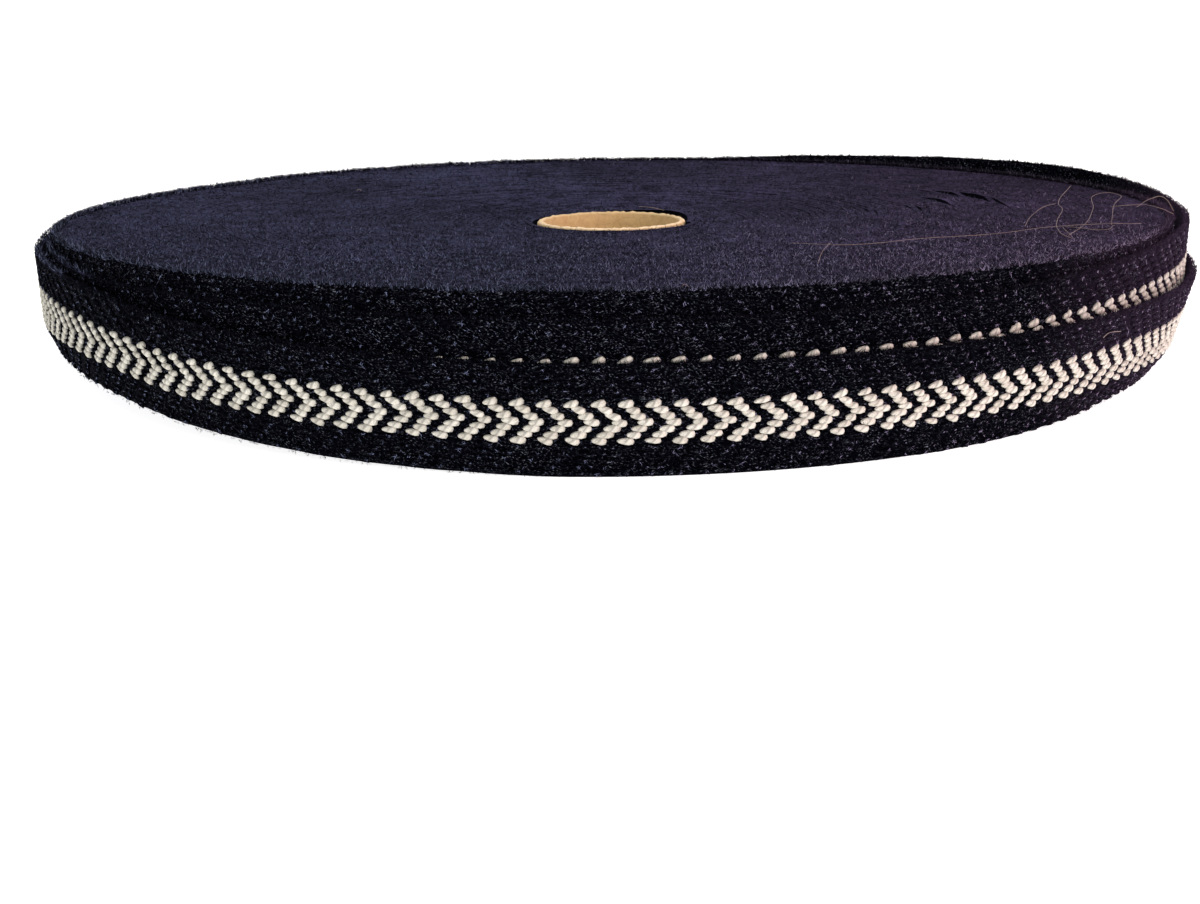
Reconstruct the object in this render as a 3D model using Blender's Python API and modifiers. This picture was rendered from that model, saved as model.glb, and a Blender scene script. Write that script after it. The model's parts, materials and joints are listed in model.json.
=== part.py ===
"""Roll of wool braid: one long braid wound flat round a short cardboard tube.

Most of the winding is a tight, flat body. The last two turns have slipped down
off it on one side, so the body leans and the roll stands on the lower edge of
its outermost turn. Metres, +Z up; the origin is on the ground, at the middle
of the footprint. Angles are in degrees from the front (-Y) towards the right
(+X), which is also the way the braid is wound outwards.
"""

import math
from collections import namedtuple

import bmesh
import bpy

# Driving dimensions, in metres.
BRAID_WIDTH = 0.025
BRAID_THICKNESS = 0.0016
LOWER_BORDER = 0.0072           # the plain stretch below the braid's chevron band
BODY_RADIUS = 0.1355
TUBE_OUTER_RADIUS = 0.018
TUBE_WALL = 0.0016
TUBE_STAND_OUT = 0.0008         # the tube shows this much above and below the turns next to it
TUBE_RIM_ROUNDING = 0.0004
FIT_GAP = 0.0003                # between the tube and the first turn
FRONT_CLEARANCE = 0.01435       # under the front edge of the leaning body
BACK_CLEARANCE = 0.00025        # under its back edge
FOOTPRINT_SHIFT = (-0.0010, -0.0012)    # brings the middle of the footprint to the origin

# The middle of the body has sunk into a shallow bowl: (radius, how far down).
BOWL = [
    (TUBE_OUTER_RADIUS + FIT_GAP, 0.00175), (0.030, 0.00135), (0.045, 0.00075),
    (0.058, 0.0003), (0.070, 0.0),
]

# The slipped length: where it leaves the body, and how it is modelled.
LEAVES_AT = -135.0
STEP_OUT = 0.00025              # the ridge where it leaves the body
OVERLAP = 0.0004                # how deep each turn is bedded in the one inside it
ANGLE_STEP = 3.0
BODY_SEGMENTS = 120
TUBE_SEGMENTS = 64

# One row for each stretch of the two slipped turns, in degrees and millimetres:
# how far the top edge lies below the body's top (minus: above it), how far the
# top edge leans out from, and the lower edge tucks in from, a tight winding,
# and how much further in the plain lower border curls.
Slip = namedtuple("Slip", "angle drop lean_out tuck_in curl_in")
SLIPPED_TURNS = [
    Slip(-135, 0.6, 0.0, 0.0, 0.0),
    Slip(-90, 1.8, 0.0, 0.4, 1.6),
    Slip(-60, 4.4, 0.0, 0.6, 1.6),
    Slip(-30, 4.8, 0.0, 0.0, 0.0),
    Slip(0, 5.7, 0.0, 0.0, 0.0),
    Slip(30, 5.1, 0.0, 0.0, 0.0),
    Slip(60, 1.8, 0.6, 0.0, 0.0),
    Slip(90, -0.9, 2.6, 0.2, 0.0),
    Slip(120, -3.6, 1.6, 0.0, 0.0),
    Slip(150, -2.2, 0.6, 0.0, 0.0),
    Slip(180, 0.5, 0.2, 0.0, 0.0),
    Slip(225, 1.0, 0.4, 0.0, 0.0),
    Slip(255, 1.5, 0.8, 0.0, 0.4),
    Slip(270, 3.3, 1.1, 0.4, 3.0),
    Slip(285, 4.2, 1.4, 1.8, 2.3),
    Slip(300, 6.1, 1.5, 3.2, 0.8),
    Slip(315, 9.8, 1.2, 4.2, 0.2),
    Slip(330, 12.4, 0.8, 4.0, 0.0),
    Slip(345, 14.0, 0.4, 3.5, 0.0),
    Slip(360, 14.8, 0.4, 3.2, 0.0),
    Slip(390, 14.3, 1.3, 3.5, 0.4),
    Slip(405, 13.6, 2.1, 4.2, 1.2),
    Slip(420, 12.5, 2.8, 5.0, 2.2),
    Slip(450, 10.8, 2.4, 5.7, 2.4),
    Slip(480, 5.1, 2.2, 4.0, 1.0),
    Slip(510, 1.7, 0.8, 2.4, 0.2),
    Slip(540, 0.6, 0.2, 1.4, 0.0),
    Slip(585, 2.6, 0.0, 1.0, 0.0),
]


def clear_scene():
    for item in list(bpy.data.objects):
        bpy.data.objects.remove(item, do_unlink=True)


def new_collection(name):
    collection = bpy.data.collections.new(name)
    bpy.context.scene.collection.children.link(collection)
    return collection


def new_material(name, color, roughness):
    material = bpy.data.materials.new(name)
    material.use_nodes = True
    shader = material.node_tree.nodes["Principled BSDF"]
    shader.inputs["Base Color"].default_value = (*color, 1.0)
    shader.inputs["Roughness"].default_value = roughness
    shader.inputs["Metallic"].default_value = 0.0
    return material


def new_object(name, mesh, collection, material=None):
    item = bpy.data.objects.new(name, mesh)
    collection.objects.link(item)
    if material:
        mesh.materials.append(material)
    return item


def make_cutter(item):
    """Marks an object as a tool for Boolean modifiers, not a piece of the roll."""
    item.hide_render = True
    item.display_type = "WIRE"


def turned_ring(name, profile, segments, collection, material=None):
    """A closed profile of (radius, height) points turned round +Z by a Screw modifier."""
    mesh = bpy.data.meshes.new(name)
    points = [(radius, 0.0, height) for radius, height in profile]
    edges = [(i, (i + 1) % len(points)) for i in range(len(points))]
    mesh.from_pydata(points, edges, [])
    ring = new_object(name, mesh, collection, material)
    screw = ring.modifiers.new("Turn", "SCREW")
    screw.steps = segments
    screw.render_steps = segments
    screw.use_merge_vertices = True
    screw.merge_threshold = 0.00001
    return ring


def rim_profile(inner, outer, low, high, rounding):
    """The section of a tube wall, down its outer side, with its rims eased."""
    return [
        (inner + rounding, high), (outer - rounding, high),
        (outer, high - rounding), (outer, low + rounding),
        (outer - rounding, low), (inner + rounding, low),
        (inner, low + rounding), (inner, high - rounding),
    ]


def slip_at(angle):
    """The table's columns at any angle, in metres, along a smooth curve through its rows."""
    rows = SLIPPED_TURNS
    i = max(1, next((k for k, row in enumerate(rows) if row.angle >= angle), len(rows) - 1))
    before, after = rows[i - 1], rows[i]
    outer_before, outer_after = rows[max(i - 2, 0)], rows[min(i + 1, len(rows) - 1)]
    span = after.angle - before.angle
    t = (angle - before.angle) / span
    values = []
    for column in Slip._fields[1:]:
        start, end = getattr(before, column), getattr(after, column)
        slope_in = (end - getattr(outer_before, column)) / (after.angle - outer_before.angle) * span
        slope_out = (getattr(outer_after, column) - start) / (outer_after.angle - before.angle) * span
        value = (
            start * (2 * t**3 - 3 * t**2 + 1) + slope_in * (t**3 - 2 * t**2 + t)
            + end * (3 * t**2 - 2 * t**3) + slope_out * (t**3 - t**2)
        )
        values.append(value / 1000)
    return values


def braid_section(angle):
    """(radius, height) of the slipped braid's outer face: lower edge, border's bend, top edge."""
    drop, lean_out, tuck_in, curl_in = slip_at(angle)
    wound = BODY_RADIUS + STEP_OUT + BRAID_THICKNESS * (angle - LEAVES_AT) / 360
    top = (wound + lean_out, BRAID_WIDTH - drop)
    slope = (lean_out + tuck_in) / BRAID_WIDTH
    band = BRAID_WIDTH - LOWER_BORDER
    bend = (top[0] - slope * band, top[1] - band * math.sqrt(1 - slope**2))
    inward = slope * LOWER_BORDER + curl_in
    foot = (bend[0] - inward, bend[1] - math.sqrt(LOWER_BORDER**2 - inward**2))
    return foot, bend, top


def slipped_braid(collection):
    """The slipped length: a flat strip bent round the body, then given its thickness."""
    first, last = SLIPPED_TURNS[0].angle, SLIPPED_TURNS[-1].angle
    steps = round((last - first) / ANGLE_STEP)
    strip = bmesh.new()
    bmesh.ops.create_grid(strip, x_segments=steps, y_segments=2, size=0.5)
    for corner in strip.verts:
        angle = first + (corner.co.x + 0.5) * (last - first)
        radius, height = braid_section(angle)[round(2 * corner.co.y) + 1]
        turn = math.radians(angle)
        corner.co = (radius * math.sin(turn), -radius * math.cos(turn), height)
    mesh = bpy.data.meshes.new("slipped_braid")
    strip.to_mesh(mesh)
    strip.free()
    braid = new_object("slipped_braid", mesh, collection)
    solid = braid.modifiers.new("Thickness", "SOLIDIFY")
    solid.thickness = BRAID_THICKNESS + OVERLAP
    solid.offset = -1.0
    solid.use_even_offset = True
    make_cutter(braid)
    return braid


def ground_block(collection):
    """Everything below the ground, which trims the lower edge flat where it stands."""
    size = 4 * BODY_RADIUS
    block = bmesh.new()
    bmesh.ops.create_cube(block, size=size)
    bmesh.ops.translate(block, verts=block.verts, vec=(0.0, 0.0, -size / 2))
    mesh = bpy.data.meshes.new("ground")
    block.to_mesh(mesh)
    block.free()
    ground = new_object("ground", mesh, collection)
    make_cutter(ground)
    return ground


def add_boolean(item, operation, tool, self_overlaps=False):
    cut = item.modifiers.new(tool.name, "BOOLEAN")
    cut.operation = operation
    cut.object = tool
    cut.solver = "EXACT"
    cut.use_self = self_overlaps


def make_tube(collection, material):
    sunk = BOWL[0][1]
    profile = rim_profile(
        TUBE_OUTER_RADIUS - TUBE_WALL, TUBE_OUTER_RADIUS,
        -sunk - TUBE_STAND_OUT, BRAID_WIDTH - sunk + TUBE_STAND_OUT, TUBE_RIM_ROUNDING,
    )
    return turned_ring("core_tube", profile, TUBE_SEGMENTS, collection, material)


def make_winding(collection, tools, material):
    top = [(radius, BRAID_WIDTH - sunk) for radius, sunk in BOWL]
    underside = [(radius, -sunk) for radius, sunk in reversed(BOWL)]
    profile = [*top, (BODY_RADIUS, BRAID_WIDTH), (BODY_RADIUS, 0.0), *underside]
    winding = turned_ring("wound_braid", profile, BODY_SEGMENTS, collection, material)
    braid = slipped_braid(tools)
    add_boolean(winding, "UNION", braid, self_overlaps=True)
    add_boolean(winding, "DIFFERENCE", ground_block(tools))
    return winding, braid


def main():
    clear_scene()
    roll = new_collection("roll_of_wool_braid")
    tools = new_collection("tools")
    lean = bpy.data.objects.new("lean", None)
    roll.objects.link(lean)
    lean.location = (*FOOTPRINT_SHIFT, (FRONT_CLEARANCE + BACK_CLEARANCE) / 2)
    lean.rotation_euler.x = -math.asin((FRONT_CLEARANCE - BACK_CLEARANCE) / (2 * BODY_RADIUS))

    cardboard = new_material("cardboard", (0.55, 0.40, 0.22), 0.9)
    navy_wool = new_material("navy_wool", (0.012, 0.014, 0.035), 0.95)
    tube = make_tube(roll, cardboard)
    winding, braid = make_winding(roll, tools, navy_wool)
    for piece in (tube, winding, braid):
        piece.parent = lean


main()
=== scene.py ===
# %% [markdown]
# # A roll of wool braid
#
# One long navy braid, with cream chevrons woven down its middle, is wound flat round a
# short cardboard tube. The last two turns have slipped down off the body of the roll at
# the front, so the roll leans back on them and their chevrons show.
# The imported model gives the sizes; everything here is built on it, in the same frame.

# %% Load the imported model
import json
import math
from collections import namedtuple

import bmesh
import bpy
import numpy as np
from mathutils import Matrix, Vector

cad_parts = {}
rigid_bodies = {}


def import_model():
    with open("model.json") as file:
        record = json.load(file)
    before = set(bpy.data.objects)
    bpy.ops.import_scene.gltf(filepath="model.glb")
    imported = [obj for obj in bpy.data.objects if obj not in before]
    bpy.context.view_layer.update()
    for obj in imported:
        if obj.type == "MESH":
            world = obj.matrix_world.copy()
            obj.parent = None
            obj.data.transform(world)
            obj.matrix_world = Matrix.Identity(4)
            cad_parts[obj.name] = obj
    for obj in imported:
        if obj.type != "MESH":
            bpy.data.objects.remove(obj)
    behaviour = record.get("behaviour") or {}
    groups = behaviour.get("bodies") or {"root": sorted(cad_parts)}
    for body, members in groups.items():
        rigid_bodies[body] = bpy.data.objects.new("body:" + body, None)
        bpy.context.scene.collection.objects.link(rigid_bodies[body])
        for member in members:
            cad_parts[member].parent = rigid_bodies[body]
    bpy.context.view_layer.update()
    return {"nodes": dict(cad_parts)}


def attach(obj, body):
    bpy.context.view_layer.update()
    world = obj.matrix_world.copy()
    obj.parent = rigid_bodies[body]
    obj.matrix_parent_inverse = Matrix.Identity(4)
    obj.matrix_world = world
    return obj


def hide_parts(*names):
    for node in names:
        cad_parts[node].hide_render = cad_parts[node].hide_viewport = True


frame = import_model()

print("pieces of the packed model:", sorted(frame["nodes"]))

# %% [markdown]
# ## Sizes and the leaning body
#
# A braid like this is 25 mm wide and, being wool, about 1.6 mm thick. Lengths below are
# in millimetres, in the body's own upright frame: the middle of its underside is the
# origin and +Z comes out of its upper face. One matrix then leans the whole roll back by
# three degrees and turns millimetres into metres, so no piece has to be placed by hand.

# %% Sizes of the roll, in millimetres
BRAID_WIDTH = 25.0
BRAID_THICKNESS = 1.6
LOWER_BORDER = 7.2              # the plain stretch below the chevrons
BODY_RADIUS = 135.5
BORE_RADIUS = 18.3              # inside the first turn
TUBE_RADIUS = 18.0
TUBE_WALL = 1.6
TUBE_STAND_OUT = 0.8            # past the turns next to it
FRONT_CLEARANCE = 14.35         # under the front edge of the leaning body
BACK_CLEARANCE = 0.25           # under its back edge
FOOTPRINT_SHIFT = (-1.0, -1.2)  # brings the middle of the footprint to the origin
STEP_OUT = 0.25                 # the ridge where the slipped turns leave the body
LEAVES_AT = -135.0              # the angle where they leave it, in degrees
BOWL_RADII = (18.3, 30.0, 45.0, 58.0, 70.0)
BOWL_DEPTHS = (1.75, 1.35, 0.75, 0.3, 0.0)
FLOOR_GAP = 0.05                # no point comes nearer to the floor

rise = FRONT_CLEARANCE - BACK_CLEARANCE
lean_angle = math.asin(rise / (2 * BODY_RADIUS))
body_origin = Vector((*FOOTPRINT_SHIFT, (FRONT_CLEARANCE + BACK_CLEARANCE) / 2)) / 1000
LEAN = Matrix.Translation(body_origin) @ Matrix.Rotation(-lean_angle, 4, "X")
print("the body leans back by", round(math.degrees(lean_angle), 2), "degrees")


def leaned(points):
    """Points in body millimetres, as points of the row frame in metres, kept off the floor."""
    turn = np.array(LEAN.to_3x3())
    placed = points / 1000 @ turn.T + np.array(LEAN.translation)
    placed[:, 2] = np.maximum(placed[:, 2], FLOOR_GAP / 1000)
    return placed


# %% [markdown]
# ## Camera
#
# The roll is seen from a little above table height with a long lens, so its near and far
# rims look almost alike in width. The camera aims below the roll and is a touch out of
# level, which puts the roll in the upper half of the picture.

# %% Camera
VIEW_DISTANCE = 0.9
VIEW_ELEVATION = 8.24
AIM_DOWN = 2.0913
AIM_LEFT = 0.1918
ROLL = -0.60

scene = bpy.context.scene
camera_data = bpy.data.cameras.new("camera")
camera_data.lens = 110.25
camera_data.sensor_width = 36.0
camera_data.clip_start = 0.05
camera = bpy.data.objects.new("camera", camera_data)
scene.collection.objects.link(camera)
above = math.radians(VIEW_ELEVATION)
back_off = Vector((0, -math.cos(above), math.sin(above))) * VIEW_DISTANCE
camera.matrix_world = (
    Matrix.Translation(LEAN @ back_off)
    @ Matrix.Rotation(math.radians(90) - above - lean_angle, 4, "X")
    @ Matrix.Rotation(math.radians(ROLL), 4, "Z")
    @ Matrix.Rotation(math.radians(-AIM_DOWN), 4, "X")
    @ Matrix.Rotation(math.radians(AIM_LEFT), 4, "Y")
)
scene.camera = camera
print("camera at", tuple(round(x, 3) for x in camera.matrix_world.translation))

# %% [markdown]
# ## Two helpers for materials
#
# Every finish below is a small tree of shader nodes. One function turns a colour as a
# designer writes it, an sRGB hex value, into the linear numbers Blender computes with.
# The other adds a node of any kind, with its settings and inputs, in one go. Where an
# input is given a whole node, it is linked to that node's first output in use.

# %% Colours and nodes


def colour(hex_value):
    """An sRGB hex value such as "1a2b3c" as a linear RGBA tuple."""
    parts = [int(hex_value[i:i + 2], 16) / 255 for i in (0, 2, 4)]
    linear = [p / 12.92 if p <= 0.04045 else ((p + 0.055) / 1.055) ** 2.4 for p in parts]
    return (*linear, 1.0)


def fill(tree, node, sockets):
    """Fills inputs of a node: their name or number -> a value, an output or a node."""
    for name, value in sockets.items():
        if isinstance(value, bpy.types.Node):
            value = next(output for output in value.outputs if output.enabled)
        if isinstance(value, bpy.types.NodeSocket):
            tree.links.new(value, node.inputs[name])
        else:
            node.inputs[name].default_value = value


def add(tree, kind, sockets=None, **settings):
    """Adds a shader node of a kind, with its settings and its inputs filled."""
    made = tree.nodes.new("ShaderNode" + kind)
    for name, value in settings.items():
        setattr(made, name, value)
    fill(tree, made, sockets or {})
    return made


def new_material(name):
    """An empty node material: its tree, its Principled shader and itself."""
    material = bpy.data.materials.new(name)
    material.use_nodes = True
    return material.node_tree, material.node_tree.nodes["Principled BSDF"], material


print("navy in linear light:", [round(x, 4) for x in colour("15182c")])

# %% [markdown]
# ## Floor and light
#
# The setting is a light table in a studio: a pale matt floor that glows, so that hardly
# any shadow shows, a wide soft light overhead, weaker ones from the front right and the
# right, and a bright, even room. The felted upper face reads paler than the dark side
# through the light from above and a painted sheen: its colour is paler than the yarn's.

# %% Floor, lights and room
tree, shader, floor_paint = new_material("pale_matt_floor")
grain = add(tree, "TexNoise", {"Scale": 9.0, "Detail": 3.0})
tint = add(tree, "Mix", {0: grain, 6: colour("f4f4f3"), 7: colour("fafaf9")},
           data_type="RGBA")
fill(tree, shader, {"Base Color": tint, "Roughness": 0.9,
                    "Emission Color": colour("ffffff"), "Emission Strength": 0.9})


def into_mesh(name, shape):
    """Turns a finished bmesh into a mesh."""
    mesh = bpy.data.meshes.new(name)
    shape.to_mesh(mesh)
    shape.free()
    return mesh


plane = bmesh.new()
bmesh.ops.create_grid(plane, x_segments=2, y_segments=2, size=6.0)
floor_mesh = into_mesh("floor", plane)
floor_mesh.materials.append(floor_paint)
floor = bpy.data.objects.new("floor", floor_mesh)
scene.collection.objects.link(floor)


def soft_light(name, power, size, place, towards, tint):
    """A square area light at place, facing the point towards."""
    data = bpy.data.lights.new(name, "AREA")
    data.energy = power
    data.size = size
    data.color = colour(tint)[:3]
    light = bpy.data.objects.new(name, data)
    light.location = place
    light.rotation_euler = (Vector(towards) - Vector(place)).to_track_quat("-Z", "Y").to_euler()
    scene.collection.objects.link(light)


soft_light("overhead", 20.0, 1.6, (0.0, 0.25, 1.5), (0, 0, 0), "fffdf8")
soft_light("front_fill", 10.0, 1.2, (0.7, -1.3, 0.65), (0, 0, 0.02), "fffcf6")
soft_light("right_rose", 1.7, 0.4, (0.6, -0.25, 0.26), (0.1, 0, 0.03), "ffb4c4")
room = bpy.data.worlds.new("room")
room.use_nodes = True
scene.world = room
backdrop = room.node_tree.nodes["Background"]
backdrop.inputs["Color"].default_value = colour("fbfbff")
backdrop.inputs["Strength"].default_value = 0.48
scene.view_settings.view_transform = "Standard"

# %% [markdown]
# ## Putting many small things into one mesh
#
# A braid is thousands of alike stitches and hairs. One bmesh makes the small shape once,
# numpy sets its copies in place, and one mesh holds them all. That is far quicker, and
# lighter, than thousands of objects.

# %% Helpers for meshes
SEED = 11
rng = np.random.default_rng(SEED)
print("every random number follows from the seed", SEED)


def finished(name, mesh, material):
    """Links a mesh as a piece that rides on the roll and wears the material."""
    mesh.materials.append(material)
    mesh.shade_smooth()
    piece = bpy.data.objects.new(name, mesh)
    scene.collection.objects.link(piece)
    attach(piece, "root")
    mesh.calc_loop_triangles()
    print(name, "has", len(mesh.loop_triangles), "triangles")
    return piece


def set_attribute(mesh, name, values):
    """Stores one number, or one vector, for each vertex of a mesh."""
    vector = values.ndim == 2
    made = mesh.attributes.new(name, "FLOAT_VECTOR" if vector else "FLOAT", "POINT")
    made.data.foreach_set("vector" if vector else "value", values.astype(np.float32).ravel())


def small_shape(make):
    """The corners and faces of a small shape that make(bm) builds in a bmesh."""
    shape = bmesh.new()
    make(shape)
    shape.verts.ensure_lookup_table()
    corners = np.array([v.co for v in shape.verts])
    faces = [[v.index for v in face.verts] for face in shape.faces]
    shape.free()
    return corners, faces


def many(name, points, faces):
    """One mesh of many copies: points holds, copy by copy, the places of a shape's corners."""
    copies, corners = points.shape[:2]
    loops = np.concatenate(faces)
    starts = np.cumsum([0] + [len(face) for face in faces[:-1]])
    shift = np.arange(copies)[:, None]
    mesh = bpy.data.meshes.new(name)
    mesh.vertices.add(copies * corners)
    mesh.vertices.foreach_set("co", leaned(points.reshape(-1, 3)).ravel())
    mesh.loops.add(copies * len(loops))
    mesh.loops.foreach_set("vertex_index", (loops + shift * corners).ravel())
    mesh.polygons.add(copies * len(faces))
    mesh.polygons.foreach_set("loop_start", (starts + shift * len(loops)).ravel())
    mesh.update(calc_edges=True)
    return mesh


# %% [markdown]
# ## The path of the braid
#
# The braid is one long spiral. Up to the last two turns it is wound tight, each turn one
# thickness further out. The last two have slipped: a table says, angle by angle, how far
# they have dropped, how far their top leans out and how far their lower edge tucks in.
# A smooth curve through the rows gives any angle between. Angles run from the front
# towards the right, the way the braid is wound. The rows up to -175 let the body's own
# last turn sink a little at the left back.

# %% The slipped turns
SLIPPED_TURNS = [               # angle, drop, lean out, tuck in, curl in of the border
    (-900, 0, 0, 0, 0), (-525, 0.7, 0, 0, 0), (-475, 0.9, 0, 0, 0), (-420, 0.1, 0, 0, 0),
    (-380, 0, 0, 0, 0), (-175, 0, 0, 0, 0), (-135, 0.6, 0, 0, 0), (-90, 1.8, 0, 0.4, 1.6),
    (-60, 4.4, 0, 0.6, 1.6), (-30, 4.8, 0, 0, 0), (0, 5.7, 0, 0, 0), (30, 5.1, 0, 0, 0),
    (60, 1.8, 0.6, 0, 0), (90, -0.9, 2.6, 0.2, 0), (120, -3.6, 1.6, 0, 0),
    (150, -2.2, 0.6, 0, 0), (180, 0.5, 0.2, 0, 0), (225, 1, 0.4, 0, 0),
    (255, 1.5, 0.8, 0, 0.4), (270, 3.3, 1.1, 0.4, 3), (285, 4.2, 1.4, 1.8, 2.3),
    (300, 6.1, 1.5, 3.2, 0.8), (315, 9.8, 1.2, 4.2, 0.2), (330, 12.4, 0.8, 4, 0),
    (345, 14, 0.4, 3.5, 0), (360, 14.8, 0.4, 3.2, 0), (390, 14.3, 1.3, 3.5, 0.4),
    (405, 13.6, 2.1, 4.2, 1.2), (420, 12.5, 2.8, 5, 2.2), (450, 10.8, 2.4, 5.7, 2.4),
    (480, 5.1, 2.2, 4, 1), (510, 1.7, 0.8, 2.4, 0.2), (540, 0.6, 0.2, 1.4, 0),
    (585, 2.6, 0, 1, 0),
]
OUTER_START = -495.0
OUTER_END = 585.0
print("the weave shows on", (OUTER_END - OUTER_START) / 360, "turns")

# %% [markdown]
# These functions turn a place on the braid, so far along it, down it and off its face,
# into a point of the roll. The lower border bends in where it has curled. No turn may
# push out through the one wound over it, and a slight wobble keeps the edges from
# looking cut by machine.

# %% Where the braid lies
WOBBLE = 0.10
WOBBLE_WAVES = (19.3, 37.7, 61.1)
BEND_LENGTH = 5


def slip_at(angle):
    """The table's four columns at each angle, along a smooth curve through its rows."""
    table = np.array(SLIPPED_TURNS)
    at, rows = table[:, 0], table[:, 1:]
    count = np.arange(len(at))
    after, before = np.minimum(count + 1, count[-1]), np.maximum(count - 1, 0)
    slopes = (rows[after] - rows[before]) / (at[after] - at[before])[:, None]
    i = np.clip(np.searchsorted(at, angle) - 1, 0, len(at) - 2)
    span = (at[i + 1] - at[i])[:, None]
    t = (angle[:, None] - at[i][:, None]) / span
    return (
        rows[i] * (2 * t**3 - 3 * t**2 + 1) + slopes[i] * span * (t**3 - 2 * t**2 + t)
        + rows[i + 1] * (3 * t**2 - 2 * t**3) + slopes[i + 1] * span * (t**3 - t**2)
    ).T


def wavy(angle, waves, seed):
    """A smooth random number for each angle, from a few waves of so many to a turn."""
    dice = np.random.default_rng(seed)
    total = np.zeros_like(angle)
    for rate in waves:
        total += np.sin(np.radians(angle) * rate + dice.uniform(0, 2 * math.pi))
    return total / len(waves)


def spiral_radius(angle):
    """How far out the braid's outer face lies where it is wound tight."""
    return BODY_RADIUS + STEP_OUT + BRAID_THICKNESS * (angle - LEAVES_AT) / 360


def face_radius(along, height):
    """How far out the braid's outer face lies at an angle and a height."""
    drop, lean_out, tuck_in, curl_in = slip_at(along)
    slope = (lean_out + tuck_in) / BRAID_WIDTH
    border_slope = slope + curl_in / LOWER_BORDER
    below = BRAID_WIDTH - drop - height
    band = (BRAID_WIDTH - LOWER_BORDER) * np.sqrt(1 - slope**2)
    upper, lower = np.clip(below, 0, band), np.clip(below - band, 0, 2 * LOWER_BORDER)
    return (spiral_radius(along) + lean_out - slope * upper / np.sqrt(1 - slope**2)
            - border_slope * lower / np.sqrt(1 - border_slope**2))


def held_in(along, radius, height):
    """Keeps a turn inside the ones that are wound over it."""
    for turns in (1, 2):
        over = along + 360 * turns
        room = face_radius(np.minimum(over, OUTER_END), height) - BRAID_THICKNESS * turns
        radius = np.where(over <= OUTER_END, np.minimum(radius, room), radius)
    return radius


def round_axis(angle, radius, height):
    """Body points at angles in degrees, distances from the axis and heights."""
    turn = np.radians(angle)
    return np.stack([radius * np.sin(turn), -radius * np.cos(turn), height], 1)


def on_braid(along, down, out):
    """Body points at an angle along the outer turns, mm down from the top edge, mm off the face."""
    along, down, out = (np.ravel(x) for x in np.broadcast_arrays(along, down, out))
    drop, lean_out, tuck_in, curl_in = slip_at(along)
    slope = (lean_out + tuck_in) / BRAID_WIDTH
    fall = np.sqrt(1 - slope**2)
    border_slope = slope + curl_in / LOWER_BORDER
    border_fall = np.sqrt(1 - border_slope**2)
    band = BRAID_WIDTH - LOWER_BORDER
    upper, lower = np.minimum(down, band), np.maximum(down - band, 0)
    bend = np.clip((down - band) / BEND_LENGTH + 0.5, 0, 1)
    bend = bend * bend * (3 - 2 * bend)
    face_out = fall + (border_fall - fall) * bend
    face_up = -slope - (border_slope - slope) * bend
    length = np.hypot(face_out, face_up)
    radius = spiral_radius(along) + lean_out - slope * upper - border_slope * lower
    height = BRAID_WIDTH - drop - fall * upper - border_fall * lower
    radius = held_in(along, radius, height)
    height = height + WOBBLE * wavy(along, WOBBLE_WAVES, 5)
    radius = radius + face_out / length * out
    height = height + face_up / length * out
    return round_axis(along, radius, height)


def bowl(radius):
    """How far down the middle of the body has sunk, at a radius."""
    return np.interp(radius, BOWL_RADII, BOWL_DEPTHS)


# %% [markdown]
# ## Navy wool
#
# Dyed wool yarn: thick, matt and hairy. Straight on it looks nearly black, but for the
# glints where single fibres stand in the light, which are painted highlights: pale strokes
# mixed into its colour. A glint is a short stroke that follows the twist of its yarn, so
# its noise reads the yarn's own coordinates, stretched along the twist: millimetres along
# the yarn, the angle round it, and a number for each stitch. Real fibres are 0.03 mm
# thick, too fine to show, so the glints are 0.3 mm wide. Slow clouds of noise, 6 mm
# across, thin them out here and there, and on the front of the roll's right end the
# colour turns lighter and plum.

# %% Navy wool yarn


def at_right_end(tree, across):
    """1 on the front of the roll's right end, which turns lighter and plum, and 0 elsewhere."""
    to_end = add(tree, "MapRange", {"Value": across.outputs["X"], "From Min": 0.09,
                                    "From Max": 0.135})
    in_front = add(tree, "MapRange", {"Value": across.outputs["Y"], "From Min": 0.05,
                                      "From Max": 0.01})
    return add(tree, "Math", {0: to_end, 1: in_front}, operation="MULTIPLY")


tree, shader, navy_yarn = new_material("navy_wool_yarn")
yarn = add(tree, "Attribute", attribute_name="yarn")
twisted = add(tree, "Mapping", {"Vector": yarn.outputs["Vector"], "Scale": (0.75, 0.34, 0.02),
                                "Rotation": (0.0, 0.0, math.radians(35))},
              vector_type="TEXTURE")
fibres = add(tree, "TexNoise", {"Vector": twisted, "Scale": 1.0, "Detail": 2.5,
                                "Roughness": 0.6})
place = add(tree, "TexCoord")
clouds = add(tree, "TexNoise", {"Vector": place.outputs["Object"], "Scale": 160.0})
shade = add(tree, "MapRange", {"Value": fibres, "From Min": 0.4, "From Max": 0.6})
body = add(tree, "Mix", {0: shade, 6: colour("000001"), 7: colour("05060d")},
           data_type="RGBA")
# painted highlights: pale glints mixed into the colour
glint = add(tree, "MapRange", {"Value": fibres, "From Min": 0.60, "From Max": 0.72})
many_here = add(tree, "MapRange", {"Value": clouds, "From Min": 0.35, "From Max": 0.62,
                                   "To Min": 0.25})
share = add(tree, "Math", {0: glint, 1: many_here}, operation="MULTIPLY")
across = add(tree, "SeparateXYZ", {"Vector": place.outputs["Object"]})
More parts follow.
